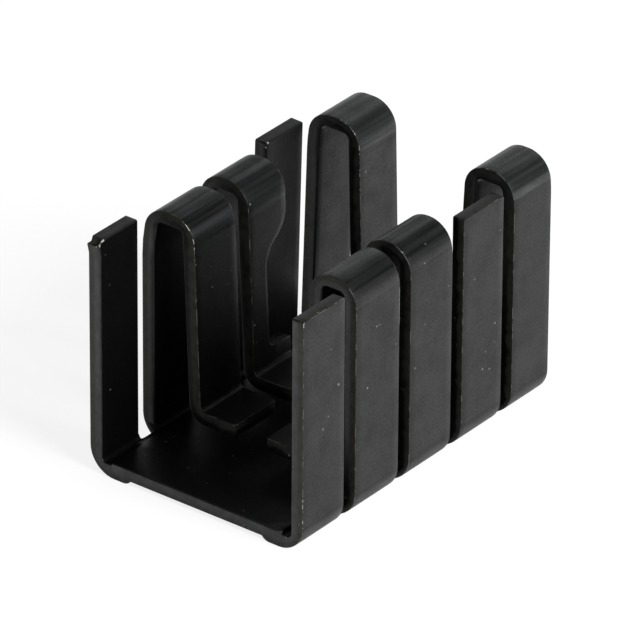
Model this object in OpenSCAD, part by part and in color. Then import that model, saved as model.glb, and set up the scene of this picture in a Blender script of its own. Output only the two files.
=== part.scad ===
// A clip-on heat sink for a flat-tab transistor: one sheet, slotted and folded into an open channel.
// X runs across the channel, Y along it from front to rear, and Z up from the underside.
// Left is towards minus X. Each wall has five fingers: straight, clip, waisted clip, straight and rear fold.

/* [Sheet] */
// Thickness of the sheet
sheet_t = 0.7; // [0.5:0.05:0.9]
// Inside radius of the bend between the base and each wall
wall_in_r = 0.25; // [0.1:0.05:0.4]
// Outside radius of that bend, which is pressed thinner than the rest of the sheet
wall_out_r = 1.45; // [1.35:0.05:1.6]

/* [Channel] */
// Width over the outside of the two walls
channel_w = 12.7; // [12:0.1:18]
// Length from front to rear
channel_l = 19.05; // [18.5:0.05:30]
// Width of the raised seat in the middle of the base
seat_w = 10.1; // [6:0.1:10.4]
// Height of the raised seat
seat_rise = 0.14; // [0.05:0.01:0.3]
// Width of the hollow under the seat
relief_w = 8.3; // [4:0.1:9.2]
// Depth of the hollow under the seat
relief_rise = 0.22; // [0.05:0.01:0.3]

/* [Slots] */
// Width of the slots in the left wall
slot_w_left = 1.15; // [0.6:0.05:1.3]
// Width of the slots in the right wall
slot_w_right = 0.86; // [0.6:0.01:1.3]
// Distance from the outside of a wall to the end of its slots in the base
slot_reach = 0.98; // [0.97:0.01:1.1]
// Radius of the corners at the end of a slot
slot_corner_r = 0.25; // [0.05:0.01:0.25]

/* [Fingers] */
// Width of the left fingers from front to rear; the rear one takes the rest of the length
finger_w_left = [2.8, 3.1, 2.8, 2.85]; // [2.6:0.05:5]
// Width of the right fingers from front to rear; the rear one takes the rest of the length
finger_w_right = [3.1, 3.3, 3.2, 3.1]; // [2.6:0.05:5]
// Height of each left finger
height_left = [12.55, 12.7, 12.7, 12.7, 12.75]; // [10:0.05:20]
// Height of each right finger
height_right = [12.45, 12.7, 12.7, 12.55, 13.05]; // [10:0.05:20]
// Inward lean of each left finger, in degrees
lean_left = [0, 0, 0, 1.4, 1.8]; // [0:0.1:3]
// Inward lean of each right finger, in degrees
lean_right = [0, 0, 0, 0, 0]; // [0:0.1:3]

/* [Folds] */
// Outside radius of the two bends over the top of a fold
fold_out_r = 1.35; // [1.2:0.05:1.5]
// Inside radius of those two bends
fold_in_r = 0.3; // [0.1:0.05:0.4]
// Radius of the gentle shoulder below the top of a fold
shoulder_r = 8; // [4:0.5:12]
// Turn of the shoulder of each left fold from front to rear, in degrees
shoulder_left = [11, 10, 7]; // [1:1:12]
// Turn of the shoulder of each right fold from front to rear, in degrees
shoulder_right = [2, 4, 5]; // [1:1:12]
// Clear width inside each left fold
gap_left = [1.6, 1.5, 1.7]; // [1.35:0.05:2]
// Clear width inside each right fold
gap_right = [1.35, 1.4, 1.55]; // [1.35:0.05:2]
// Tilt of the inner leg of each left fold towards the middle of the channel, in degrees
tilt_left = [2.4, 2.6, 1.5]; // [0:0.1:4]
// Tilt of the inner leg of each right fold towards the middle of the channel, in degrees
tilt_right = [2.8, 2.8, 2.8]; // [0:0.1:4]
// Height at which the plain inner leg of a rear fold ends
loop_end = 2.6; // [1.5:0.1:6]

/* [Clip] */
// Clear height between the seat and the clip feet
foot_gap = 1.1; // [0.6:0.05:2]
// Length of a clip foot, from the face of its leg to its tip
foot_l = 2.1; // [1:0.1:2.2]
// Inside radius of the bend between a leg and its foot
foot_r = 0.25; // [0.15:0.05:0.5]
// Width that is left of the third finger's inner leg at its waist
waist_w = 1.2; // [0.8:0.05:1.8]
// Height at which the waist starts, below the fold
waist_top = 10.6; // [9.5:0.1:11]
// Height at which the waist ends, above the foot
waist_bottom = 3.6; // [3.4:0.1:5]
// Radius of the two curves that lead into the waist
waist_r = 1.6; // [1.2:0.1:2]
// Radius of the corner at the lower end of the waist
waist_corner_r = 0.5; // [0.2:0.05:0.8]

/* [Hidden] */
finish = [0.1, 0.1, 0.105];
margin = 0.5;
// The waist's upper curve runs this far past the rear edge of the leg
skim = 0.02;
corner_fn = 32;
arc_step = 7.5;

LEFT = 0;
RIGHT = 1;
THIRD = 2;
REAR = 4;
// Which of the three folds a finger is, or -1 for a straight one
fold_number = [-1, 0, 1, -1, 2];
finger_w = [finger_w_left, finger_w_right];
slot_w = [slot_w_left, slot_w_right];
height = [height_left, height_right];
lean = [lean_left, lean_right];
shoulder = [shoulder_left, shoulder_right];
gap = [gap_left, gap_right];
tilt = [tilt_left, tilt_right];

half_w = channel_w / 2;
base_half = half_w - wall_out_r;
seat_z = sheet_t + seat_rise;
slot_end = half_w - slot_reach;
shoulder_out_r = shoulder_r + sheet_t;
foot_center_z = seat_z + foot_gap + sheet_t + foot_r;

// Y of the front and the rear edge of finger i
function front_y(side, i) = i == 0 ? -channel_l / 2 : rear_y(side, i - 1) + slot_w[side];
function rear_y(side, i) = i == REAR ? channel_l / 2 : front_y(side, i) + finger_w[side][i];

// Length of a straight finger above its bend
function straight_run(top, lean) = (top - wall_out_r * (1 + sin(lean))) / cos(lean);

// Length of the outer leg of a fold, from the wall bend to the shoulder
function outer_run(top, lean, shoulder) =
    straight_run(top - fold_out_r - shoulder_out_r * (sin(lean + shoulder) - sin(lean))
        + fold_out_r * sin(lean + shoulder), lean);

// Length of the inner leg of a fold, down to where its outside face is at height z
function inner_run(top, tilt, z) = (top - z - fold_out_r * (1 - sin(tilt))) / cos(tilt);

// The way of a finger's sheet from the base on, as stretches of
// [straight length, inside radius and outside radius of the bend after it, angle of that bend]
function wall_way(lean) = [[0, wall_in_r, wall_out_r, 90], [0, wall_out_r - sheet_t, wall_out_r, lean]];

function fold_way(top, lean, shoulder, gap, tilt) = concat(wall_way(lean), [
    [outer_run(top, lean, shoulder), shoulder_r, shoulder_out_r, shoulder],
    [0, fold_in_r, fold_out_r, 90 - lean - shoulder],
    [gap - 2 * (fold_out_r - sheet_t), fold_in_r, fold_out_r, 90 - tilt]]);

function foot_way(top, tilt) = [
    [inner_run(top, tilt, foot_center_z - foot_r * sin(tilt)), foot_r, foot_r + sheet_t, tilt - 90],
    [foot_l - foot_r, 0, 0, 0]];

function finger_way(side, i) =
    let (top = height[side][i], lean = lean[side][i], fold = fold_number[i])
    fold < 0 ? concat(wall_way(lean), [[straight_run(top, lean), 0, 0, 0]]) :
    let (way = fold_way(top, lean, shoulder[side][fold], gap[side][fold], tilt[side][fold]))
    concat(way, i == REAR ?
        [[inner_run(top, tilt[side][fold], loop_end), 0, 0, 0]] :
        foot_way(top, tilt[side][fold]));

// Points along an arc of circle, with both of its ends
function arc(center, r, from, to) =
    let (steps = ceil(abs(to - from) / arc_step))
    [for (k = [0 : steps]) center + r * toward(from + (to - from) * k / steps)];

// Unit vector at angle a
function toward(a) = [cos(a), sin(a)];

// Points of one face of the sheet from stretch i of a way on, where the outside face is at point p and heads
// along angle a. A negative bend turns towards the outside face.
function face(way, inside, p, a = 0, i = 0) =
    i == len(way) ? [] :
    let (
        in_r = way[i][1],
        out_r = way[i][2],
        turn = way[i][3],
        across = toward(a + 90),
        start = p + way[i][0] * toward(a),
        center = start + (turn > 0 ? out_r : -in_r) * across,
        lead = (out_r - sheet_t - in_r) * tan(turn / 2),
        in_center = start + lead * toward(a) + (sheet_t + in_r) * across,
        points =
            turn == 0 ? [start + (inside ? sheet_t : 0) * across] :
            turn < 0 ? arc(center, inside ? out_r : in_r, a + 90, a + 90 + turn) :
            inside ? arc(in_center, in_r, a - 90, a - 90 + turn) :
            arc(center, out_r, a - 90, a - 90 + turn),
        end = turn == 0 ? start : center + (turn > 0 ? -out_r : in_r) * toward(a + 90 + turn)
    )
    concat(points, face(way, inside, end, a + turn, i + 1));

// The section of the sheet that follows a way from the edge of the flat base on
module strip(way) {
    inner = face(way, true, [base_half, 0]);
    polygon(concat(
        face(way, false, [base_half, 0]),
        [for (k = [len(inner) - 1 : -1 : 0]) inner[k]],
        [[base_half, sheet_t]]));
}

// Stands a section upright across the channel, and extrudes it from y forwards
module across(y, l) {
    translate([0, y, 0])
        rotate([90, 0, 0])
            linear_extrude(l)
                children();
}

// The section of the base and of the lower part of both wall bends
module base_section() {
    corner_x = slot_end + slot_corner_r;
    intersection() {
        union() {
            translate([-base_half, 0])
                square([2 * base_half, sheet_t]);
            for (side = [0, 1])
                mirror([side, 0])
                    strip(wall_way(0));
        }
        translate([-corner_x, 0])
            square([2 * corner_x, sheet_t + wall_in_r]);
    }
    translate([-seat_w / 2, relief_rise])
        square([seat_w, seat_z - relief_rise]);
}

// The section of the hollow under the seat
module relief_section() {
    polygon([
        [-relief_w / 2 - margin, -margin],
        [relief_w / 2 + margin, -margin],
        [relief_w / 2 - relief_rise, relief_rise],
        [relief_rise - relief_w / 2, relief_rise]]);
}

// The outlines of one wall's slots where they end in the base, seen from above
module slot_ends(side) {
    for (i = [0 : REAR - 1])
        translate([slot_end, rear_y(side, i)])
            offset(r = slot_corner_r, $fn = corner_fn)
                offset(delta = -slot_corner_r)
                    square([slot_reach + margin, slot_w[side]]);
}

// The flat base with its raised seat and the hollow under it, cut at the edges by the ends of the slots
module base() {
    difference() {
        across(channel_l / 2, channel_l)
            difference() {
                base_section();
                relief_section();
            }
        for (side = [LEFT, RIGHT])
            mirror([side == LEFT ? 1 : 0, 0, 0])
                translate([0, 0, -margin])
                    linear_extrude(seat_z + 2 * margin)
                        slot_ends(side);
    }
}

// The outline that the waist takes off the rear side of the inner leg, in Y and Z from the leg's front edge
module waist_outline(leg_w) {
    rear = leg_w + skim;
    curve_turn = acos(1 - (rear - waist_w) / (2 * waist_r));
    curve_end = waist_top - 2 * waist_r * sin(curve_turn);
    polygon(concat(
        [[rear + margin, waist_top], [rear + margin, waist_bottom]],
        arc([waist_w + waist_corner_r, waist_bottom + waist_corner_r], waist_corner_r, 270, 180),
        arc([waist_w + waist_r, curve_end], waist_r, 180, 180 - curve_turn),
        arc([rear - waist_r, waist_top], waist_r, -curve_turn, 0)));
}

// What the waist takes off the third finger, from the middle of the channel to the middle of the fold
module waist_cut(side) {
    reach = half_w - sheet_t - gap[side][fold_number[THIRD]] / 2;
    translate([0, front_y(side, THIRD), 0])
        rotate([90, 0, 90])
            linear_extrude(reach)
                waist_outline(finger_w[side][THIRD]);
}

// Finger i of one wall, from the flat of the base on, stood at the right-hand side
module finger(side, i) {
    difference() {
        across(rear_y(side, i), rear_y(side, i) - front_y(side, i))
            strip(finger_way(side, i));
        if (i == THIRD)
            waist_cut(side);
    }
}

module heat_sink() {
    color(finish) {
        base();
        for (side = [LEFT, RIGHT])
            mirror([side == LEFT ? 1 : 0, 0, 0])
                for (i = [0 : REAR])
                    finger(side, i);
    }
}

heat_sink();
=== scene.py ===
"""A clip-on transistor heat sink: one slotted sheet of black anodised aluminium, folded up from its base plate."""

from contextlib import contextmanager
from math import acos, asin, atan2, cos, pi, radians, sin, tan

import bmesh
import bpy
from bpy.props import FloatProperty, FloatVectorProperty, PointerProperty
from mathutils import Matrix, Vector


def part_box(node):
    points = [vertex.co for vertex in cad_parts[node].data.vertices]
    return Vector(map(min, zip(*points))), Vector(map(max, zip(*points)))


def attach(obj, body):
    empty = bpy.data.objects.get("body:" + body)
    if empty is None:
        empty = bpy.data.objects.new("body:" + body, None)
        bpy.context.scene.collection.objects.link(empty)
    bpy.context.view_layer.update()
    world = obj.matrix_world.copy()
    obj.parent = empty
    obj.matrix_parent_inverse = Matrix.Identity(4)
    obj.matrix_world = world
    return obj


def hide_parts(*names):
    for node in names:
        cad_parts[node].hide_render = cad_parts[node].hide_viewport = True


bl_info = {
    "name": "Folded transistor heat sink",
    "version": (1, 0, 0),
    "blender": (4, 5, 0),
    "location": "3D View > Sidebar > Heat sink",
    "description": "Folds a slotted black sheet into a clip-on heat sink, and lights it on a white table",
    "category": "Add Mesh",
}

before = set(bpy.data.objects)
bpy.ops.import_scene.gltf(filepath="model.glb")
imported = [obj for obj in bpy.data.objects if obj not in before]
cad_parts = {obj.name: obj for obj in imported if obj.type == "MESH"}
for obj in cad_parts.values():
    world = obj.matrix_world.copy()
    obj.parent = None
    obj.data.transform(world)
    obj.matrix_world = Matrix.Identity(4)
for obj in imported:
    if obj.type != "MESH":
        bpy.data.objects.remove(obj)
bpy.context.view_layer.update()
node_low, node_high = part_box("heat_sink")

NEAR = 2e-6
ROW_TURN = radians(9)
ROW_LENGTH = 0.0008
CORNER_COLUMNS = 3
FINGER_COLUMNS = (0.15, 0.38, 0.62, 0.85)
SHEET = "folded_sheet"
SIGN = {"left": -1, "right": 1}
FIRST, SECOND, THIRD, FOURTH, REAR = range(5)
FOLDS = (SECOND, THIRD, REAR)
FRONT_EDGE, REAR_EDGE = range(2)
# How far wear reaches in from the edge, and whether it is on both faces.
LINE, SPOT, PATCH = (0.00001, False), (0.00012, True), (0.00035, True)
# The bends' marks: streaks for the clip and rear folds; the wall's mark, below zero, gives no streaks and paints its
# bend's shine lower as painted shade.
WALL_STREAKS_AND_SHADE, CLIP_STREAKS, REAR_STREAKS = -0.2, 0.8, 1.0
# How far down inside the folds their shine is painted lower, as painted shade.
FOLD_SHADE_DEPTH = 0.0022
REAR_PATCH = (-0.53, 0.69, 0.49)
BASE_TOP, ABOVE_BASE = 0.0009, 0.0015
NOISE, SIDE_STEP = (0.3, 0.7), (0.4, 0.6)
GRAIN_SCALE, PATCH_SHARE = 9000, 0.08
ROW_SLACK, BEND_SLACK, SHARP = radians(0.1), radians(3), radians(40)
WAIST_CURVE_ROWS, WAIST_ROWS, WAIST_CORNER_ROWS = 6, 6, 4
# Wall, finger, edge, lowest and highest (distance from the middle plane, height), kind and amount of wear.
WORN = (
    ("left", FIRST, FRONT_EDGE, (0.0055, 0.0121), (0.0064, 0.0126), PATCH, 0.8),
    ("left", SECOND, FRONT_EDGE, (0.0031, 0.0111), (0.0044, 0.0128), LINE, 0.9),
    ("left", SECOND, REAR_EDGE, (0.0033, 0.0118), (0.0039, 0.0126), LINE, 0.8),
    ("left", THIRD, REAR_EDGE, (0.0033, 0.0118), (0.0038, 0.0126), LINE, 0.7),
    ("left", FOURTH, FRONT_EDGE, (0.0052, 0.0125), (0.0056, 0.0128), SPOT, 0.95),
    ("left", SECOND, FRONT_EDGE, (0.0006, 0.0018), (0.0014, 0.0027), SPOT, 0.65),
    ("left", REAR, FRONT_EDGE, (0.0028, 0.0089), (0.0041, 0.0128), LINE, 0.65),
    ("right", FIRST, FRONT_EDGE, (0.0063, 0.0014), (0.0064, 0.0032), LINE, 0.8),
    ("right", FIRST, FRONT_EDGE, (0.0056, 0.0122), (0.0064, 0.0126), SPOT, 0.8),
    ("right", THIRD, FRONT_EDGE, (0.0057, 0.0123), (0.0063, 0.0128), LINE, 1.0),
    ("right", REAR, FRONT_EDGE, (0.0041, 0.0126), (0.0048, 0.0131), LINE, 0.8),
)


def length(name, description, default, low, high):
    """A length in metres, shown in the scene's own unit."""
    return FloatProperty(
        name=name, description=description, default=default, min=low, max=high, precision=5, unit="LENGTH"
    )


def lengths(name, description, default, low, high):
    """A row of lengths, from front to rear."""
    size = len(default)
    return FloatVectorProperty(
        name=name, description=description, default=default, size=size, min=low, max=high, precision=5, unit="LENGTH"
    )


def angles(name, description, default, low, high):
    """A row of angles that are shown in degrees, from front to rear."""
    turns, low, high = [radians(a) for a in default], radians(low), radians(high)
    return FloatVectorProperty(
        name=name, description=description, default=turns, size=len(turns), min=low, max=high, unit="ROTATION"
    )


def colour(name, description, default):
    """A linear colour with a picker."""
    return FloatVectorProperty(
        name=name, description=description, default=default, size=3, min=0, max=1, subtype="COLOR"
    )


def factor(name, description, default, high=1):
    """A plain factor."""
    return FloatProperty(name=name, description=description, default=default, min=0, max=high)


class SheetSizes(bpy.types.PropertyGroup):
    """Sizes of the sheet and of its folds"""

    thickness: length("Thickness", "Thickness of the sheet", 0.0007, 0.0005, 0.0009)
    wall_inner: length("Wall inside radius", "Inside radius of the bend up to a wall", 0.00025, 0.0001, 0.0004)
    wall_outer: length("Wall outside radius", "Outside radius of that bend", 0.00145, 0.00135, 0.0016)
    width: length("Width", "Width over the outside of the two walls", node_high.x - node_low.x, 0.012, 0.018)
    depth: length("Depth", "Length of the channel from front to rear", node_high.y - node_low.y, 0.0185, 0.03)
    seat_width: length("Seat width", "Width of the raised seat in the middle of the base", 0.0101, 0.006, 0.0104)
    seat_rise: length("Seat rise", "Height of the raised seat", 0.00014, 0.00005, 0.0003)
    relief_width: length("Relief width", "Width of the hollow under the seat", 0.0083, 0.004, 0.0092)
    relief_rise: length("Relief rise", "Depth of the hollow under the seat", 0.00022, 0.00005, 0.0003)
    relief_round: length("Relief rounding", "Rounding along the rim of that hollow", 0.0002, 0.00005, 0.00025)
    left_slot: length("Left slots", "Width of the slots in the left wall", 0.00115, 0.0006, 0.0013)
    right_slot: length("Right slots", "Width of the slots in the right wall", 0.00086, 0.0006, 0.0013)
    slot_reach: length("Slot reach", "From the outside of a wall to the end of its slots", 0.00098, 0.00097, 0.0011)
    slot_corner: length("Slot corner", "Radius of the corners at the end of a slot", 0.00025, 0.00005, 0.00025)
    left_widths: lengths(
        "Left widths", "Widths of the left fingers but the rear one", (0.0028, 0.0031, 0.0028, 0.00285), 0.0026, 0.005
    )
    right_widths: lengths(
        "Right widths", "Widths of the right fingers but the rear one", (0.0031, 0.0033, 0.0032, 0.0031), 0.0026, 0.005
    )
    left_heights: lengths(
        "Left heights", "Heights of the left fingers", (0.01255, 0.0127, 0.0127, 0.0127, 0.01275), 0.01, 0.02
    )
    right_heights: lengths(
        "Right heights", "Heights of the right fingers", (0.01245, 0.0127, 0.0127, 0.01255, 0.01305), 0.01, 0.02
    )
    left_leans: angles("Left leans", "Inward leans of the left fingers", (0, 0, 0, 1.4, 1.8), 0, 3)
    right_leans: angles("Right leans", "Inward leans of the right fingers", (0, 0, 0, 0, 0), 0, 3)
    fold_outer: length("Fold outside radius", "Outside radius of the two bends over a fold", 0.00135, 0.0012, 0.0015)
    fold_inner: length("Fold inside radius", "Inside radius of those bends", 0.0003, 0.0001, 0.0004)
    shoulder_radius: length("Shoulder radius", "Radius of the gentle shoulder below a fold's top", 0.008, 0.004, 0.012)
    left_shoulders: angles("Left shoulders", "Turns of the left folds' shoulders", (11, 10, 7), 1, 12)
    right_shoulders: angles("Right shoulders", "Turns of the right folds' shoulders", (2, 4, 5), 1, 12)
    left_gaps: lengths("Left gaps", "Clear widths inside the left folds", (0.0016, 0.0015, 0.0017), 0.00135, 0.002)
    right_gaps: lengths("Right gaps", "Clear widths inside the right folds", (0.00135, 0.0014, 0.00155), 0.00135, 0.002)
    left_tilts: angles("Left tilts", "Tilts of the left folds' inner legs", (2.4, 2.6, 1.5), 0, 4)
    right_tilts: angles("Right tilts", "Tilts of the right folds' inner legs", (2.8, 2.8, 2.8), 0, 4)
    loop_end: length("Rear fold end", "Height at which a rear fold's inner leg ends", 0.0026, 0.0015, 0.006)
    foot_gap: length("Foot gap", "Clear height between the seat and the clip feet", 0.0011, 0.0006, 0.002)
    foot_length: length("Foot length", "Length of a clip foot from its leg's face to its tip", 0.0021, 0.001, 0.0022)
    foot_radius: length("Foot radius", "Inside radius of the bend between a leg and its foot", 0.00025, 0.00015, 0.0005)
    waist_width: length("Waist width", "Width of the third finger's inner leg at its waist", 0.0012, 0.0008, 0.0018)
    waist_top: length("Waist top", "Height at which the waist starts", 0.0106, 0.0095, 0.011)
    waist_bottom: length("Waist bottom", "Height at which the waist ends", 0.0036, 0.0034, 0.005)
    waist_radius: length("Waist radius", "Radius of the two curves into the waist", 0.0016, 0.0012, 0.002)
    waist_corner: length("Waist corner", "Radius of the corner at the waist's lower end", 0.0005, 0.0002, 0.0008)
    tip_corner: length("Tip corners", "Rounding of the corners at the fingers' ends", 0.0001, 0.00005, 0.0003)
    worn_corner: length("Worn corners", "Rounding of the left first finger's knocked corner", 0.0003, 0.0001, 0.0004)
    burr: length("Burr", "Size of the burr and the dent at that corner", 0.00006, 0, 0.0001)
    edge_roll: length("Edge roll", "Rounding along the cut edges of the inside face", 0.00008, 0.00004, 0.00012)
    edge_break: length("Edge break", "Rounding along the cut edges of the outside face", 0.000025, 0.00001, 0.00003)


class SheetFinish(bpy.types.PropertyGroup):
    """Colours of the coat and of what shows through it"""

    coat: colour("Coat", "Black anodised coat", (0.0025, 0.0026, 0.0026))
    streak: colour("Streaks", "Coat along the streaks of the bends", (0.022, 0.024, 0.026))
    cut: colour("Cut edge", "Coat on the rough side of the sheared edges, a little browner", (0.016, 0.015, 0.013))
    rubbed: colour("Rubbed coat", "Coat worn thin along the outside edges", (0.09, 0.09, 0.086))
    bare: colour("Bare metal", "Aluminium where the coat is knocked off", (0.45, 0.44, 0.41))
    dust: colour("Dust", "Fine dust on the coat", (0.22, 0.23, 0.24))
    shine: factor("Shine", "Strength of the coat's own reflection", 0.38)
    # The coat's shine on the inside face is painted lower, as painted shade in the channel.
    inner_shine: factor("Inner shine", "Share of it on the inside face", 0.66)
    # Inside the folds, under their bends, it is painted lower still, as painted shade.
    sheltered_shine: factor("Sheltered shine", "Share of it inside the folds, under their bends", 0.3)
    # Painted light and shade on the cut faces: their shine is lower on the slots' edges and higher on the sheet's two
    # ends.
    slot_shine: factor("Slot shine", "Share of it on the punched edges", 0.9, 2)
    end_shine: factor("End shine", "Share of it on the sheared ends", 1.25, 2)
    outer_dust: factor("Outer dust", "Share of the places with a speck", 0.2)
    inner_dust: factor("Inner dust", "That share on the inside face", 0.06)
    base_dust: factor("Base dust", "That share on the base plate", 0.35)


class StageLook(bpy.types.PropertyGroup):
    """The table and the light"""

    table: colour("Table", "Colour of the table", (0.6, 0.6, 0.6))
    shadow: colour("Shadow", "Colour of the part of the table's white that shadows can take away", (0.24, 0.24, 0.24))
    seen_glow: factor("Seen glow", "White of the table that stays in the shadow", 0.84)
    table_glow: factor("Table glow", "What the coat mirrors of the table", 0.5)
    sky: colour("Sky", "Colour of the light tent", (0.94, 1, 0.97))
    low_sky: factor("Low sky", "Strength of the light near the horizon", 0.42, 2)
    high_sky: factor("High sky", "Strength of the light from above", 0.22, 2)
    front_sky: factor("Front sky", "Share of it that comes from the front", 0.4)
    rear_sky: factor("Rear sky", "Strength of the soft patch at the left rear", 0.35, 2)
    lamp: FloatProperty(
        name="Lamp", description="Power of the lamp on the right", default=9, min=0, max=50, unit="POWER"
    )


@contextmanager
def editing():
    """Edit mode on the sheet, with nothing selected."""
    bpy.ops.object.select_all(action="DESELECT")
    sheet = bpy.data.objects[SHEET]
    bpy.context.view_layer.objects.active = sheet
    sheet.select_set(True)
    bpy.ops.object.mode_set(mode="EDIT")
    select_all("DESELECT")
    yield
    bpy.ops.object.mode_set(mode="OBJECT")


def pick(kind, wanted):
    """In edit mode, selects only the vertices, edges or faces whose every corner is wanted."""
    bpy.ops.mesh.select_mode(type=kind)
    select_all("DESELECT")
    data = bpy.context.edit_object.data
    mesh = bmesh.from_edit_mesh(data)
    if kind == "VERT":
        for corner in mesh.verts:
            corner.select_set(wanted(corner.co))
    else:
        for part in mesh.edges if kind == "EDGE" else mesh.faces:
            part.select_set(all(wanted(corner.co) for corner in part.verts))
    bmesh.update_edit_mesh(data)


def select_all(action="SELECT"):
    bpy.ops.mesh.select_all(action=action)


def extrude(step):
    bpy.ops.mesh.extrude_region_move(TRANSFORM_OT_translate={"value": step})


def near(a, b):
    return abs(a - b) < NEAR


def between(low, value, high):
    return low - NEAR < value < high + NEAR


def parts(whole, count):
    """0, whole / count and so on, up to the whole."""
    return [whole * k / count for k in range(count + 1)]


def mark(name, value=1.0):
    """Sets one of the sheet's attributes on the selected vertices."""
    attributes = bpy.context.edit_object.data.attributes
    attributes.active = attributes[name]
    bpy.ops.mesh.attribute_set(value_float=value)


class Pattern:
    """What the sizes come to: the fingers' edges along Y, and the way of the sheet through the folds of each finger."""

    def __init__(self, sizes):
        self.sizes = s = sizes
        self.half = s.thickness / 2
        self.base_half = s.width / 2 - s.wall_outer
        self.wall = (0, s.wall_inner, s.wall_outer, pi / 2)
        self.wall_middle = self.middle(self.wall)
        self.wall_lead = self.lead(self.wall) / 2
        self.bend_start = self.base_half + self.wall_lead
        self.slot_turn = asin((s.wall_outer - s.slot_reach) / s.wall_outer)
        self.root_turn = self.slot_turn + s.slot_corner / self.wall_middle
        self.edges = {side: self.finger_edges(side) for side in SIGN}

    def finger_edges(self, side):
        """(front, rear) of each finger of one wall."""
        slot = getattr(self.sizes, side + "_slot")
        end = self.sizes.depth / 2
        edges, y = [], -end
        for w in getattr(self.sizes, side + "_widths"):
            edges.append((y, y + w))
            y += w + slot
        return edges + [(y, end)]

    def lead(self, stretch):
        """How far the inside of a pressed bend starts past the outside."""
        _, inner, outer, turn = stretch
        return (outer - self.sizes.thickness - inner) * tan(abs(turn) / 2)

    @staticmethod
    def middle(stretch):
        """Radius of a bend along the middle of the sheet."""
        return (stretch[1] + stretch[2]) / 2

    def straight_run(self, top, lean):
        return (top - self.sizes.wall_outer * (1 + sin(lean))) / cos(lean)

    def inner_run(self, top, tilt, z):
        return (top - z - self.sizes.fold_outer * (1 - sin(tilt))) / cos(tilt)

    def rise(self, side, i):
        """(straight length, inside and outside radius, turn) of each stretch past the wall's bend."""
        s = self.sizes
        top = getattr(s, side + "_heights")[i]
        lean = getattr(s, side + "_leans")[i]
        way = [(0, s.wall_outer - s.thickness, s.wall_outer, lean)]
        if i not in FOLDS:
            return way + [(self.straight_run(top, lean), 0, s.thickness, 0)]
        fold = FOLDS.index(i)
        shoulder, gap, tilt = (getattr(s, side + name)[fold] for name in ("_shoulders", "_gaps", "_tilts"))
        outer = s.shoulder_radius + s.thickness
        up = top - s.fold_outer * (1 - sin(lean + shoulder)) - outer * (sin(lean + shoulder) - sin(lean))
        way += [
            (self.straight_run(up, lean), s.shoulder_radius, outer, shoulder),
            (0, s.fold_inner, s.fold_outer, pi / 2 - lean - shoulder),
            (gap - 2 * (s.fold_outer - s.thickness), s.fold_inner, s.fold_outer, pi / 2 - tilt),
        ]
        if i == REAR:
            return way + [(self.inner_run(top, tilt, s.loop_end), 0, s.thickness, 0)]
        sole = 2 * s.thickness + s.seat_rise + s.foot_gap + s.foot_radius * (1 - sin(tilt))
        return way + [
            (self.inner_run(top, tilt, sole), s.foot_radius, s.foot_radius + s.thickness, tilt - pi / 2),
            (s.foot_length - s.foot_radius, 0, s.thickness, 0),
        ]


class Brake:
    """Draws the selected row of edges on through the folds of one finger, along the middle of the sheet."""

    def __init__(self, pattern, side, dry=False):
        self.pattern = pattern
        self.sign = SIGN[side]
        self.dry = dry
        self.spot = Vector((self.sign * pattern.bend_start, 0, pattern.half))
        self.heading = 0.0
        self.carry = 0.0
        self.bends = []

    def way(self, turn=0.0):
        """Unit vector of the heading, turned inwards by an angle."""
        a = self.heading + turn
        return Vector((self.sign * cos(a), 0, sin(a)))

    def at_spot(self, co):
        return near(co.x, self.spot.x) and near(co.z, self.spot.z)

    def run(self, distance):
        rows = max(1, round(distance / ROW_LENGTH))
        step = self.way() * (distance / rows)
        for _ in range(0 if self.dry else rows):
            extrude(step)
        self.spot += self.way() * distance

    def bend(self, middle, turn):
        inwards = 1 if turn > 0 else -1
        centre = self.spot + self.way(pi / 2) * (inwards * middle)
        if not self.dry:
            steps = max(2, round(abs(turn) / ROW_TURN))
            axis = (0, self.sign * inwards, 0)
            bpy.ops.mesh.spin(steps=steps, angle=abs(turn), center=centre, axis=axis, use_auto_merge=False)
        self.heading += turn
        self.spot = centre - self.way(pi / 2) * (inwards * middle)
        return centre

    def round_tip(self, edges, radius):
        """Rounds the corners at the end of the finger."""
        pick("VERT", lambda co: self.at_spot(co) and any(near(co.y, y) for y in edges))
        bpy.ops.mesh.bevel(offset=radius, segments=3, affect="VERTICES")

    def follow(self, *stretches):
        """The straight length of each stretch and the bend after it."""
        for stretch in stretches:
            straight, _, _, turn = stretch
            lead = self.pattern.lead(stretch) / 2
            distance = self.carry + straight + lead
            if distance > NEAR:
                self.run(distance)
            if abs(turn) > 0:
                start, up = self.way(), self.way(pi / 2)
                centre = self.bend(self.pattern.middle(stretch), turn)
                if lead > NEAR:
                    self.bends.append((centre, start, up, stretch))
            self.carry = lead


def start_finger(pattern, side, i):
    """Selects the edges at the root of finger i and closes the wall's bend."""
    brake = Brake(pattern, side, dry=True)
    brake.bend(pattern.wall_middle, pattern.root_turn)
    low, high = pattern.edges[side][i]
    pick("EDGE", lambda co: brake.at_spot(co) and between(low, co.y, high))
    brake.dry = False
    brake.bend(pattern.wall_middle, pi / 2 - pattern.root_turn)
    brake.carry = pattern.wall_lead
    return brake


def divide(point, normal, wanted=lambda co: True):
    """Cuts the wanted faces along a plane."""
    pick("FACE", wanted)
    bpy.ops.mesh.bisect(plane_co=point, plane_no=normal, threshold=NEAR)


def slot_columns(pattern, side):
    """(y, how far the slot's corner reaches out there) of every line across a slot, for each slot of a wall."""
    r = pattern.sizes.slot_corner
    edges = pattern.edges[side]
    for (_, low), (high, _) in zip(edges, edges[1:]):
        for a in parts(pi / 2, CORNER_COLUMNS):
            yield low + r * (1 - cos(a)), r * (1 - sin(a))
            yield high - r * (1 - cos(a)), r * (1 - sin(a))
        yield (low + high) / 2, 0.0


def cross_cuts(pattern, side):
    """Y of every line across one side of the sheet."""
    cuts = [y for y, _ in slot_columns(pattern, side)]
    for low, high in pattern.edges[side]:
        cuts += [low + (high - low) * share for share in FINGER_COLUMNS]
    return sorted(cuts)


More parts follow.
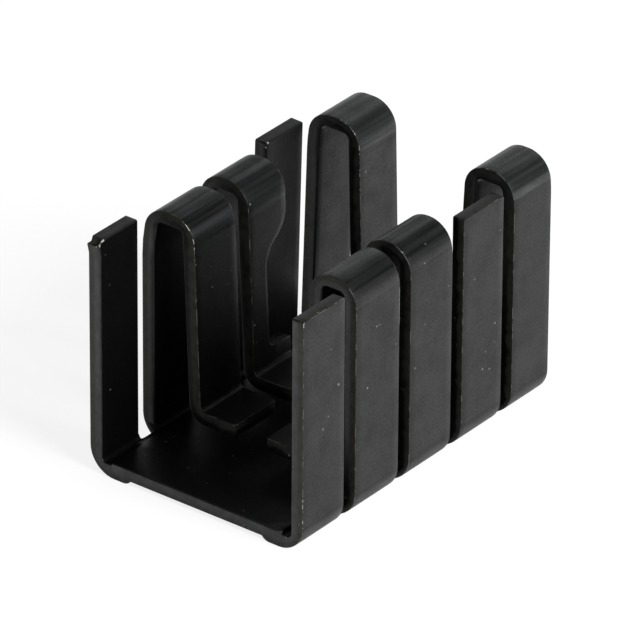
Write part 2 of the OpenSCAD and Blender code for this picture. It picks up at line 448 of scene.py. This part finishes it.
def round_slot_corners(pattern, side):
    """Draws the sheet between two fingers back round the bend, to the end of the slot and its rounded corners."""
    sign = SIGN[side]
    middle, root = pattern.wall_middle, pattern.root_turn
    centre = Vector((sign * pattern.bend_start, 0, pattern.half + middle))
    rows = round(root / ROW_TURN)

    def on_row(co):
        out = sign * (co.x - centre.x)
        in_row = out > NEAR and abs(atan2(out, centre.z - co.z) - turn) < ROW_SLACK
        return in_row and any(near(co.y, y) for y in columns)

    for reach in sorted({round(reach, 9) for _, reach in slot_columns(pattern, side)}):
        end = pattern.slot_turn + reach / middle
        columns = [y for y, out in slot_columns(pattern, side) if near(out, reach)]
        for turn in parts(root, rows):
            if turn < end - root / rows / 2:
                continue
            pick("VERT", on_row)
            bpy.ops.transform.rotate(
                value=sign * (end - turn), orient_axis="Y", orient_type="GLOBAL", center_override=centre
            )


class HEATSINK_OT_base(bpy.types.Operator):
    """Lays the base plate, bends up its two sides and rounds the corners of the slots"""

    bl_idname = "heatsink.base"
    bl_label = "Base and wall bends"

    def execute(self, context):
        pattern = Pattern(context.scene.heatsink_sizes)
        s = pattern.sizes
        bpy.ops.object.select_all(action="DESELECT")
        bpy.ops.mesh.primitive_plane_add(size=2 * pattern.bend_start, location=(0, 0, pattern.half))
        sheet = context.object
        sheet.name = sheet.data.name = SHEET
        bpy.ops.object.transform_apply(location=True, rotation=True, scale=True)
        with editing():
            select_all()
            bpy.ops.transform.resize(value=(1, s.depth / (2 * pattern.bend_start), 1), center_override=(0, 0, 0))
            foot_of_slope = s.relief_width / 2
            for x in (s.seat_width / 2, foot_of_slope, foot_of_slope - s.relief_rise, foot_of_slope / 2):
                for sign in SIGN.values():
                    divide((sign * x, 0, 0), (1, 0, 0))
            divide((0, 0, 0), (1, 0, 0))
            for side, sign in SIGN.items():
                for y in cross_cuts(pattern, side):
                    divide((0, y, 0), (0, 1, 0), lambda co: sign * co.x > -NEAR)
            for side, sign in SIGN.items():
                pick("EDGE", lambda co: near(co.x, sign * pattern.bend_start))
                Brake(pattern, side).bend(pattern.wall_middle, pattern.root_turn)
                round_slot_corners(pattern, side)
            select_all()
            bpy.ops.mesh.remove_doubles(threshold=NEAR)
        return {"FINISHED"}


class HEATSINK_OT_straight_fingers(bpy.types.Operator):
    """Raises the straight fingers, the first and the fourth of each wall"""

    bl_idname = "heatsink.straight_fingers"
    bl_label = "Straight fingers"

    def execute(self, context):
        pattern = Pattern(context.scene.heatsink_sizes)
        with editing():
            for side in SIGN:
                for i in (FIRST, FOURTH):
                    brake = start_finger(pattern, side, i)
                    brake.follow(*pattern.rise(side, i))
                    front, rear = pattern.edges[side][i]
                    worn = side == "left" and i == FIRST
                    brake.round_tip([front], pattern.sizes.worn_corner if worn else pattern.sizes.tip_corner)
                    brake.round_tip([rear], pattern.sizes.tip_corner)
        return {"FINISHED"}


def waisted_leg(brake, side, leg, foot):
    """Down the inner leg in rows that follow the S-curve of its rear edge, then the foot at full width."""
    pattern, s = brake.pattern, brake.pattern.sizes
    front, rear = pattern.edges[side][THIRD]
    full = rear - front
    fall = -brake.way().z
    end_z = brake.spot.z - (leg[0] + brake.carry) * fall
    width = full
    for z, wanted in waist_rows(s, full):
        brake.run((brake.spot.z - z) / fall)
        bpy.ops.transform.resize(value=(1, wanted / width, 1), center_override=(brake.spot.x, front, brake.spot.z))
        width = wanted
    brake.run((brake.spot.z - end_z) / fall)
    brake.carry = 0
    brake.follow((0, *leg[1:]), foot)
    middle_of_fold = s.width / 2 - s.thickness - getattr(s, side + "_gaps")[FOLDS.index(THIRD)] / 2
    low, out = s.waist_bottom + NEAR, brake.sign
    pick("EDGE", lambda co: near(co.y, front + width) and co.z < low and 0 < out * co.x < middle_of_fold)
    for _ in range(2):
        extrude((0, (full - width) / 2, 0))


def waist_rows(s, full):
    """(height, width) of the rows down the waisted leg."""
    r, corner = s.waist_radius, s.waist_corner
    turn = acos(1 - (full - s.waist_width) / (2 * r))
    turns = parts(turn, WAIST_CURVE_ROWS)
    rows = [(s.waist_top - r * sin(a), full - r * (1 - cos(a))) for a in turns]
    curve_end = s.waist_top - 2 * r * sin(turn)
    rows += [(curve_end + r * sin(a), s.waist_width + r * (1 - cos(a))) for a in turns[-2::-1]]
    straight = curve_end - s.waist_bottom - corner
    rows += [(curve_end - fall, s.waist_width) for fall in parts(straight, WAIST_ROWS)[1:]]
    turns = parts(pi / 2, WAIST_CORNER_ROWS)[1:]
    return rows + [(s.waist_bottom + corner * (1 - sin(a)), s.waist_width + corner * (1 - cos(a))) for a in turns]


class HEATSINK_OT_clip_fingers(bpy.types.Operator):
    """Folds the two clip fingers of each wall down to their feet, and narrows the inner leg of the second one"""

    bl_idname = "heatsink.clip_fingers"
    bl_label = "Clip fingers"

    def execute(self, context):
        pattern = Pattern(context.scene.heatsink_sizes)
        with editing():
            for side in SIGN:
                brake = start_finger(pattern, side, SECOND)
                brake.follow(*pattern.rise(side, SECOND))
                brake.round_tip(pattern.edges[side][SECOND], pattern.sizes.tip_corner)
                brake = start_finger(pattern, side, THIRD)
                *upper, leg, foot = pattern.rise(side, THIRD)
                brake.follow(*upper)
                waisted_leg(brake, side, leg, foot)
        return {"FINISHED"}


class HEATSINK_OT_rear_folds(bpy.types.Operator):
    """Folds the rear finger of each wall into a plain hairpin"""

    bl_idname = "heatsink.rear_folds"
    bl_label = "Rear folds"

    def execute(self, context):
        pattern = Pattern(context.scene.heatsink_sizes)
        with editing():
            for side in SIGN:
                brake = start_finger(pattern, side, REAR)
                brake.follow(*pattern.rise(side, REAR))
                brake.round_tip(pattern.edges[side][REAR], pattern.sizes.tip_corner)
        return {"FINISHED"}


def press_bends(pattern, side):
    """Presses the wall's bend, which runs through the whole depth, and the bends of each folded finger."""
    end = pattern.sizes.depth / 2
    wall = Brake(pattern, side, dry=True)
    start, up = wall.way(), wall.way(pi / 2)
    centre = wall.bend(pattern.wall_middle, pi / 2)
    press(pattern, WALL_STREAKS_AND_SHADE, (-end, end), (centre, start, up, pattern.wall))
    for i in FOLDS:
        brake = Brake(pattern, side, dry=True)
        brake.bend(pattern.wall_middle, pi / 2)
        brake.carry = pattern.wall_lead
        brake.follow(*pattern.rise(side, i))
        for bend in brake.bends:
            press(pattern, REAR_STREAKS if i == REAR else CLIP_STREAKS, pattern.edges[side][i], bend)


def press(pattern, streaks, ends, bend):
    """Brings both faces of the sheet to their own radius at one bend, and marks them for their streaks and, on the
    wall's bend, for its painted shade.
    """
    centre, start, up, stretch = bend
    _, inner, outer, turn = stretch
    half, middle = pattern.half, pattern.middle(stretch)
    shift = (up * (outer - inner - 2 * half) - start * pattern.lead(stretch)) / 2

    def on_face(co, radius):
        arm = co - centre
        out, down = arm.dot(start), -arm.dot(up)
        return (
            between(ends[0], co.y, ends[1])
            and abs((out**2 + down**2) ** 0.5 - radius) < 0.05 * half
            and -BEND_SLACK < atan2(out, down) < turn + BEND_SLACK
        )

    for radius, wanted, move in ((middle + half, outer, shift), (middle - half, inner, -shift)):
        pick("VERT", lambda co: on_face(co, radius))
        mark("bend", streaks)
        growth = wanted / radius
        bpy.ops.transform.resize(value=(growth, 1, growth), center_override=centre)
        bpy.ops.transform.translate(value=move)


def press_seat(pattern):
    """Raises the top face between the grooves and the underside in the relief, and rounds the relief's rim."""
    s = pattern.sizes
    seat_half = s.seat_width / 2
    pick("FACE", lambda co: abs(co.x) < seat_half + NEAR and near(co.z, s.thickness))
    extrude((0, 0, s.seat_rise))
    for sign in SIGN.values():
        pick("VERT", lambda co: near(co.x, sign * seat_half) and near(co.z, 0))
        inset = pattern.base_half - s.slot_corner - seat_half
        bpy.ops.transform.translate(value=(sign * inset, 0, 0))
    flat_half = s.relief_width / 2 - s.relief_rise
    pick("VERT", lambda co: abs(co.x) < flat_half + NEAR and near(co.z, 0))
    bpy.ops.transform.translate(value=(0, 0, s.relief_rise))
    pick("EDGE", lambda co: near(abs(co.x), s.relief_width / 2) and near(co.z, 0))
    bpy.ops.mesh.bevel(offset=s.relief_round, segments=3, affect="EDGES")


def shade_folds(pattern):
    """Marks the inside of the folds, just under their bends, where the coat's shine is painted lower as painted shade.
    """
    for side in SIGN:
        for i in FOLDS:
            front, rear = pattern.edges[side][i]
            low = getattr(pattern.sizes, side + "_heights")[i] - FOLD_SHADE_DEPTH
            pick("VERT", lambda co: between(front, co.y, rear) and co.z > low)
            bpy.ops.object.vertex_group_deselect()
            mark("sheltered")


def knock_corner(pattern):
    """Dents the front corner of the left first finger and pushes a small burr out of it."""
    s = pattern.sizes
    front = pattern.edges["left"][FIRST][FRONT_EDGE]
    rear = front + s.worn_corner
    low = s.left_heights[FIRST] - s.worn_corner
    outside = s.width / 2
    inside = outside - s.thickness
    pick("VERT", lambda co: between(inside, -co.x, outside) and near(co.y, front) and near(co.z, low))
    bpy.ops.transform.translate(value=(-s.burr, -s.burr, 0))
    pick("VERT", lambda co: near(-co.x, outside) and front + NEAR < co.y < rear - NEAR and co.z > low)
    bpy.ops.transform.translate(value=(s.burr, s.burr, -0.5 * s.burr))


def wear_edges(pattern):
    """Marks the stretches of edge where the coat is rubbed off."""
    for side, i, end, low, high, (reach, both_faces), amount in WORN:
        y = pattern.edges[side][i][end]

        def worn(co):
            out = SIGN[side] * co.x
            return abs(co.y - y) < reach and between(low[0], out, high[0]) and between(low[1], co.z, high[1])

        pick("VERT", worn)
        mark("wear", amount)
        if not both_faces:
            bpy.ops.object.vertex_group_deselect()
            mark("wear", 0)


def weigh_edges(pattern):
    """Marks the cut edges for rounding, lightly on the outside face and more on the inside face."""
    s = pattern.sizes
    light = s.edge_break / s.edge_roll
    bend_top = s.thickness + s.wall_inner
    bpy.ops.mesh.select_mode(type="EDGE")
    select_all("DESELECT")
    bpy.ops.mesh.edges_select_sharp(sharpness=SHARP)
    bpy.ops.transform.edge_bevelweight(value=light)
    bpy.ops.object.vertex_group_set_active(group="outside")
    bpy.ops.object.vertex_group_deselect()
    data = bpy.context.edit_object.data
    mesh = bmesh.from_edit_mesh(data)
    kept_light, kept_sharp = [], []
    for edge in [edge for edge in mesh.edges if edge.select]:
        corners = [corner.co for corner in edge.verts]
        on_step = all(near(abs(co.x), s.seat_width / 2) for co in corners)
        in_bend = all(abs(co.x) > s.seat_width / 2 - NEAR and co.z < bend_top for co in corners)
        at_end = all(near(abs(co.y), s.depth / 2) for co in corners)
        if on_step and min(co.z for co in corners) < s.thickness + NEAR or in_bend and not (at_end or on_step):
            kept_sharp.append(edge)
        elif on_step or in_bend:
            kept_light.append(edge)
    for edge in kept_light + kept_sharp:
        edge.select_set(False)
    bmesh.update_edit_mesh(data)
    bpy.ops.transform.edge_bevelweight(value=1 - light)
    select_all("DESELECT")
    for edge in kept_sharp:
        edge.select_set(True)
    bmesh.update_edit_mesh(data)
    bpy.ops.transform.edge_bevelweight(value=-1)


def apply_modifier(sheet, name, kind, **settings):
    """Adds a modifier with its settings and applies it."""
    modifier = sheet.modifiers.new(name, kind)
    for setting, value in settings.items():
        setattr(modifier, setting, value)
    bpy.ops.object.modifier_apply(modifier=name)


class HEATSINK_OT_thickness(bpy.types.Operator):
    """Gives the sheet its thickness, presses its bends and its seat, and rounds its cut edges"""

    bl_idname = "heatsink.thickness"
    bl_label = "Thickness, bends, seat and edges"

    def execute(self, context):
        pattern = Pattern(context.scene.heatsink_sizes)
        s = pattern.sizes
        sheet = bpy.data.objects[SHEET]
        with editing():
            select_all()
            bpy.ops.mesh.remove_doubles(threshold=NEAR)
            bpy.ops.mesh.normals_make_consistent(inside=False)
            mesh = bmesh.from_edit_mesh(sheet.data)
            if min(mesh.faces, key=lambda face: face.calc_center_median().length).normal.z < 0:
                select_all()
                bpy.ops.mesh.flip_normals()
        for name in ("coated_face", "cut_edge", "rounded_edge"):
            sheet.data.materials.append(bpy.data.materials.new(name))
        outside = sheet.vertex_groups.new(name="outside")
        rim = {"material_offset_rim": 1, "shell_vertex_group": outside.name}
        apply_modifier(sheet, "thickness", "SOLIDIFY", thickness=s.thickness, offset=0, use_even_offset=True, **rim)
        for name in ("outer_side", "bend", "sheltered", "wear"):
            bpy.ops.geometry.attribute_add(name=name, domain="POINT", data_type="FLOAT")
        with editing():
            bpy.ops.object.vertex_group_select()
            mark("outer_side")
            for side in SIGN:
                press_bends(pattern, side)
            for step in (press_seat, knock_corner, shade_folds, wear_edges, weigh_edges):
                step(pattern)
        weighted = {"limit_method": "WEIGHT", "use_clamp_overlap": False}
        apply_modifier(sheet, "edges", "BEVEL", width=s.edge_roll, segments=3, material=2, **weighted)
        bpy.ops.object.shade_smooth()
        apply_modifier(sheet, "flat_faces", "WEIGHTED_NORMAL")
        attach(sheet, "root")
        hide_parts("heat_sink")
        return {"FINISHED"}


def node(tree, kind, inputs=None, **settings):
    """Adds a node, with its settings and its inputs."""
    made = tree.nodes.new("ShaderNode" + kind)
    for name, value in settings.items():
        setattr(made, name, value)
    feed(tree, made.inputs, inputs or {})
    return made


def feed(tree, sockets, values):
    """Sets each value, or links it if it is a socket. A colour is given without its alpha."""
    for name, value in values.items():
        socket = sockets[name]
        if isinstance(value, bpy.types.NodeSocket):
            tree.links.new(value, socket)
        else:
            socket.default_value = (*value, 1) if socket.type == "RGBA" else value


def maths(tree, operation, *values):
    return node(tree, "Math", dict(enumerate(values)), operation=operation).outputs[0]


def times(tree, first, *others):
    """The product of two values or more."""
    for other in others:
        first = maths(tree, "MULTIPLY", first, other)
    return first


def ramp(tree, value, low, high, to_low=0.0, to_high=1.0):
    """Takes low..high to to_low..to_high and holds the ends."""
    inputs = {"Value": value, "From Min": low, "From Max": high, "To Min": to_low, "To Max": to_high}
    return node(tree, "MapRange", inputs).outputs["Result"]


def blend(tree, share, first, second):
    """Goes from the first colour to the second one."""
    made = node(tree, "Mix", data_type="RGBA")
    sockets = {socket.identifier: socket for socket in (*made.inputs, *made.outputs)}
    feed(tree, sockets, {"Factor_Float": share, "A_Color": first, "B_Color": second})
    return sockets["Result_Color"]


def effect(name, inputs, **outputs):
    """An empty node group with its sockets, and the nodes at its two ends."""
    tree = bpy.data.node_groups.new(name, "ShaderNodeTree")
    for label, default in inputs.items():
        tree.interface.new_socket(label, in_out="INPUT", socket_type="NodeSocketFloat").default_value = default
    for label, kind in outputs.items():
        tree.interface.new_socket(label, in_out="OUTPUT", socket_type="NodeSocket" + kind)
    return tree, tree.nodes.new("NodeGroupInput").outputs, tree.nodes.new("NodeGroupOutput").inputs


def place(tree):
    return node(tree, "TexCoord").outputs["Object"]


def attribute(tree, name):
    return node(tree, "Attribute", attribute_name=name).outputs["Fac"]


def use(tree, group, inputs):
    """What an effect puts out."""
    return node(tree, "Group", inputs, node_tree=group).outputs


def along(tree, axis):
    """How far along X, Y or Z the place is."""
    return node(tree, "SeparateXYZ", {"Vector": place(tree)}).outputs[axis]


def noise(tree, scale, detail, vector=None, **inputs):
    """A noise of about 0.3 to 0.7."""
    inputs = {"Vector": vector or place(tree), "Scale": scale, "Detail": detail, **inputs}
    return node(tree, "TexNoise", inputs).outputs["Fac"]


def patchy_noise(tree, scale, patch_scale):
    """A fine noise, and the same noise in stronger and weaker patches."""
    fine = noise(tree, scale, 3, Roughness=0.6)
    patches = noise(tree, patch_scale, 4)
    return fine, times(tree, fine, ramp(tree, patches, *NOISE, 0.7, 1.3))


def make_grain():
    """Fine unevenness of the coat: a patchy mask and the bumps that go with it."""
    tree, given, out = effect("fine_grain", {"Scale": GRAIN_SCALE, "Depth": 0.000002}, Mask="Float", Normal="Vector")
    fine, patchy = patchy_noise(tree, given["Scale"], times(tree, given["Scale"], PATCH_SHARE))
    bumps = node(tree, "Bump", {"Height": fine, "Distance": given["Depth"], "Strength": 1})
    feed(tree, out, {"Mask": patchy, "Normal": bumps.outputs["Normal"]})
    return tree


def make_specks():
    """Single specks, one in some of the cells of a Voronoi pattern, picked by a noise of its own."""
    tree, given, out = effect("dust_specks", {"Scale": 2300, "Size": 0.14, "Share": 0.25}, Mask="Float")
    cells = node(tree, "TexVoronoi", {"Vector": place(tree), "Scale": given["Scale"]})
    draw = node(tree, "TexWhiteNoise", {"Vector": cells.outputs["Position"]})
    split = node(tree, "SeparateColor", {"Color": draw.outputs["Color"]}).outputs
    size = times(tree, given["Size"], ramp(tree, split["Green"], 0, 1, 0.45, 1.05))
    dot = maths(tree, "LESS_THAN", cells.outputs["Distance"], size)
    chosen = maths(tree, "LESS_THAN", split["Red"], given["Share"])
    tree.links.new(times(tree, dot, chosen, maths(tree, "POWER", split["Blue"], 1.5)), out["Mask"])
    return tree


def make_wear():
    """Broken stretches of bare metal where the edges are marked as worn."""
    tree, given, out = effect("edge_wear", {"Wear": 0, "Scale": 4200}, Mask="Float")
    level = times(tree, given["Wear"], ramp(tree, noise(tree, given["Scale"], 2), 0.35, 0.65))
    tree.links.new(ramp(tree, level, 0.45, 0.6), out["Mask"])
    return tree


def tool_lines(tree):
    """Faint lines along the folds, from the tool that bent them, and the brighter and duller bands among them, with
    more shine on the rear folds' bends and, as painted shade, less on the wall's bend.
    """
    bend = attribute(tree, "bend")
    stretched = node(tree, "Mapping", {"Vector": place(tree), "Scale": (1, 0.035, 1)}).outputs["Vector"]
    scratches = ramp(tree, noise(tree, 2200, 3, stretched), 0.48, 0.72)
    bands = times(tree, bend, ramp(tree, noise(tree, 2640, 1, stretched), 0.38, 0.62, -0.7, 0.5))
    # Painted shade: the wall's bend shines less.
    bands = maths(tree, "ADD", bands, ramp(tree, bend, WALL_STREAKS_AND_SHADE, 0, 0.8, 1))
    bands = maths(tree, "ADD", bands, ramp(tree, bend, CLIP_STREAKS, REAR_STREAKS, 0, 0.85))
    return times(tree, bend, scratches), bands


class Coat:
    """Builds the materials of one sheet from the shared effects."""

    def __init__(self, finish):
        self.finish = finish
        self.grain, self.specks, self.wear = make_grain(), make_specks(), make_wear()

    def dress(self, name, look, depth):
        """Gives one material its tone and gloss, and the grain, dust and bare spots that all three have."""
        material = bpy.data.materials[name]
        material.use_nodes = True
        tree, finish = material.node_tree, self.finish
        grain = use(tree, self.grain, {"Depth": depth})
        dust = ramp(tree, attribute(tree, "outer_side"), *SIDE_STEP, finish.inner_dust, finish.outer_dust)
        dust = ramp(tree, along(tree, "Z"), BASE_TOP, ABOVE_BASE, finish.base_dust, dust)
        specks = use(tree, self.specks, {"Share": dust})
        tone, gloss, gleam, worn = look(tree)
        bare = use(tree, self.wear, {"Wear": worn})
        dusty = blend(tree, specks["Mask"], tone, finish.dust)
        gloss = maths(tree, "ADD", gloss, ramp(tree, grain["Mask"], *NOISE, 0.04, -0.04))
        coat = {
            "Base Color": blend(tree, bare["Mask"], dusty, finish.bare),
            "Metallic": bare["Mask"],
            "Roughness": maths(tree, "ADD", gloss, times(tree, bare["Mask"], 0.25)),
            "Specular IOR Level": times(tree, gleam, finish.shine),
            "Normal": grain["Normal"],
        }
        feed(tree, tree.nodes["Principled BSDF"].inputs, coat)

    def face(self, tree):
        """Black with a mottled shine, painted duller on the inside face and duller still inside the folds under their
        bends, as painted shade, and in brighter and duller bands along the bends.
        """
        finish = self.finish
        lines, bands = tool_lines(tree)
        tone = blend(tree, lines, finish.coat, finish.streak)
        # Painted shade: less shine on the inside face, and less again inside the folds under their bends.
        painted_inner_shade = ramp(tree, attribute(tree, "sheltered"), 0, 1, finish.inner_shine, finish.sheltered_shine)
        side = ramp(tree, attribute(tree, "outer_side"), *SIDE_STEP, painted_inner_shade, 1)
        _, patchy = patchy_noise(tree, GRAIN_SCALE, GRAIN_SCALE * PATCH_SHARE)
        gleam = times(tree, side, bands, ramp(tree, patchy, *NOISE, 0.76, 1.24))
        return tone, ramp(tree, lines, 0, 1, 0.37, 0.3), gleam, 0

    def cut(self, tree):
        """Smooth where the punch went in, rough and browner on the other side; its shine is painted brighter on the
        sheet's two ends, as painted light, and lower in the slots and along the bends, as painted shade.
        """
        rough = noise(tree, 2500, 4)
        ragged = maths(tree, "ADD", attribute(tree, "outer_side"), ramp(tree, rough, *NOISE, -0.12, 0.12))
        broken = ramp(tree, ragged, 0.45, 0.6)
        crumbs = times(tree, broken, ramp(tree, rough, 0.35, 0.65, 0.4, 1.6))
        tone = blend(tree, crumbs, self.finish.coat, self.finish.cut)
        from_middle = maths(tree, "ABSOLUTE", along(tree, "Y"))
        end = node_high.y
        # Painted light on the sheet's ends and painted shade in the slots.
        gleam = ramp(tree, from_middle, end - 0.0002, end - 0.0001, self.finish.slot_shine, self.finish.end_shine)
        # Painted shade on the cut faces along the bends.
        in_bend = ramp(tree, attribute(tree, "bend"), 0, 1, 1, 0.85)
        gleam = times(tree, gleam, in_bend, ramp(tree, rough, *NOISE, 0.8, 1.2))
        return tone, ramp(tree, broken, 0, 1, 0.36, 0.6), gleam, 0

    def edge(self, tree):
        """As the cut, with a thin rubbed line along the outside and bare metal where it is worn most."""
        tone, gloss, gleam, _ = self.cut(tree)
        rim = ramp(tree, attribute(tree, "outer_side"), 0.75, 0.85, 0, 0.8)
        rubs = use(tree, self.wear, {"Wear": rim, "Scale": 1900})["Mask"]
        tone = blend(tree, rubs, tone, self.finish.rubbed)
        return tone, ramp(tree, rubs, 0, 1, 0.4, 0.3), gleam, attribute(tree, "wear")


class HEATSINK_OT_finish(bpy.types.Operator):
    """Coats the sheet, with its cut edges, rubbed spots and dust"""

    bl_idname = "heatsink.finish"
    bl_label = "Coat"

    def execute(self, context):
        coat = Coat(context.scene.heatsink_finish)
        coat.dress("coated_face", coat.face, depth=0.000004)
        coat.dress("cut_edge", coat.cut, depth=0.000007)
        coat.dress("rounded_edge", coat.edge, depth=0.000004)
        return {"FINISHED"}


def add_table(look):
    """White, with a faint shadow. What the coat mirrors of it is a painted glow: brighter in front at the left and
    darker beside and behind the sheet at the left, as painted light and shadow, and dark close to the sheet, as a
    painted contact shadow.
    """
    bpy.ops.object.select_all(action="DESELECT")
    bpy.ops.mesh.primitive_plane_add(size=6, location=(0, 0, 0))
    table = bpy.context.object
    table.name = "table"
    material = bpy.data.materials.new("white_table")
    material.use_nodes = True
    tree = material.node_tree
    path = node(tree, "LightPath").outputs
    # Painted light and shadow in the mirrored glow: brighter in front at the left, darker beside and behind the sheet
    # at the left.
    front = ramp(tree, along(tree, "Y"), -0.018, -0.012, 0.6, -0.4)
    painted_light_and_shadow = times(tree, front, ramp(tree, along(tree, "X"), -0.013, -0.006, 1, 0))
    # Painted contact shadow: the mirrored glow fades where the sheet is near.
    open_share = node(tree, "AmbientOcclusion", {"Distance": 0.001}, samples=4).outputs["AO"]
    painted_light_and_shadow = times(tree, maths(tree, "ADD", painted_light_and_shadow, 1), ramp(tree, open_share, 0, 1, 0.25, 1))
    mirrored = times(tree, painted_light_and_shadow, look.table_glow, path["Is Glossy Ray"])
    glow = maths(tree, "ADD", mirrored, times(tree, path["Is Camera Ray"], look.seen_glow))
    white = {
        "Base Color": blend(tree, path["Is Camera Ray"], look.table, look.shadow),
        "Roughness": 0.9,
        "Specular IOR Level": 0,
        "Emission Color": (1, 1, 1),
        "Emission Strength": glow,
    }
    feed(tree, tree.nodes["Principled BSDF"].inputs, white)
    table.data.materials.append(material)


def add_tent(scene, look):
    """A light tent: brightest low down and behind, with a soft patch at the left rear."""
    world = bpy.data.worlds.new("light_tent")
    scene.world = world
    world.use_nodes = True
    tree = world.node_tree
    way = node(tree, "TexCoord").outputs["Generated"]
    split = node(tree, "SeparateXYZ", {"Vector": way}).outputs
    patch = node(tree, "VectorMath", {0: way, 1: REAR_PATCH}, operation="DOT_PRODUCT").outputs["Value"]
    sky = ramp(tree, split["Z"], 0.02, 0.25, look.low_sky, look.high_sky)
    sky = times(tree, sky, ramp(tree, split["Y"], -0.6, 0.1, look.front_sky, 1))
    sky = maths(tree, "ADD", sky, ramp(tree, patch, 0.6, 0.95, 0, look.rear_sky))
    feed(tree, tree.nodes["Background"].inputs, {"Color": look.sky, "Strength": sky})


def add_lamp(look):
    """A soft box low on the right, which lights the outside and leaves the channel dark."""
    spot = Vector((0.75, -0.05, 0.5))
    bpy.ops.object.light_add(type="AREA", location=spot)
    lamp = bpy.context.object
    lamp.name = "right_box"
    lamp.data.size = 0.4
    lamp.data.energy = look.lamp
    lamp.rotation_euler = (-spot).to_track_quat("-Z", "Y").to_euler()
    lamp.visible_camera = False


def add_camera(scene):
    """The photo's own view, fitted to its corners and edges, with the scale in pixels a metre."""
    azimuth, elevation, roll = radians(37.692), radians(29.582), radians(-0.375)
    distance, scale = 0.42222, 21.17e3
    aim, centre_px, frame_px = Vector((0, 0, 0.006)), (321.225, 322.715), 640
    right = Vector((cos(azimuth), sin(azimuth), 0))
    back = Vector((sin(azimuth) * cos(elevation), -cos(azimuth) * cos(elevation), sin(elevation)))
    up = back.cross(right)
    turned_right = cos(roll) * right - sin(roll) * up
    turned_up = sin(roll) * right + cos(roll) * up
    bpy.ops.object.camera_add()
    camera = bpy.context.object
    camera.name = "camera"
    axes = Matrix((turned_right, turned_up, back)).transposed().to_4x4()
    camera.matrix_world = Matrix.Translation(aim + back * distance) @ axes
    camera.data.lens = scale * distance * camera.data.sensor_width / frame_px
    camera.data.shift_x = (frame_px / 2 - centre_px[0]) / frame_px
    camera.data.shift_y = (centre_px[1] - frame_px / 2) / frame_px
    camera.data.clip_start = 0.01
    camera.data.clip_end = 20
    scene.camera = camera


class HEATSINK_OT_stage(bpy.types.Operator):
    """Sets the white table, the soft light and the camera"""

    bl_idname = "heatsink.stage"
    bl_label = "Table, light and camera"

    def execute(self, context):
        look = context.scene.heatsink_stage
        context.scene.view_settings.view_transform = "Standard"
        add_table(look)
        add_tent(context.scene, look)
        add_lamp(look)
        add_camera(context.scene)
        return {"FINISHED"}


class HEATSINK_PT_panel(bpy.types.Panel):
    """Lists the steps and the sizes"""

    bl_label = "Heat sink"
    bl_idname = "HEATSINK_PT_panel"
    bl_space_type = "VIEW_3D"
    bl_region_type = "UI"
    bl_category = "Heat sink"

    def draw(self, context):
        for step in STEPS:
            self.layout.operator(step.bl_idname)
        for group in (context.scene.heatsink_sizes, context.scene.heatsink_finish, context.scene.heatsink_stage):
            box = self.layout.box()
            for name in group.bl_rna.properties.keys():
                if name not in ("name", "rna_type"):
                    box.prop(group, name)


STEPS = (
    HEATSINK_OT_base,
    HEATSINK_OT_straight_fingers,
    HEATSINK_OT_clip_fingers,
    HEATSINK_OT_rear_folds,
    HEATSINK_OT_thickness,
    HEATSINK_OT_finish,
    HEATSINK_OT_stage,
)
CLASSES = (SheetSizes, SheetFinish, StageLook, *STEPS, HEATSINK_PT_panel)


def register():
    for made in CLASSES:
        bpy.utils.register_class(made)
    bpy.types.Scene.heatsink_sizes = PointerProperty(type=SheetSizes)
    bpy.types.Scene.heatsink_finish = PointerProperty(type=SheetFinish)
    bpy.types.Scene.heatsink_stage = PointerProperty(type=StageLook)


def unregister():
    del bpy.types.Scene.heatsink_stage
    del bpy.types.Scene.heatsink_finish
    del bpy.types.Scene.heatsink_sizes
    for made in reversed(CLASSES):
        bpy.utils.unregister_class(made)


def main():
    register()
    bpy.ops.heatsink.base()
    bpy.ops.heatsink.straight_fingers()
    bpy.ops.heatsink.clip_fingers()
    bpy.ops.heatsink.rear_folds()
    bpy.ops.heatsink.thickness()
    bpy.ops.heatsink.finish()
    bpy.ops.heatsink.stage()


if __name__ == "__main__":
    main()
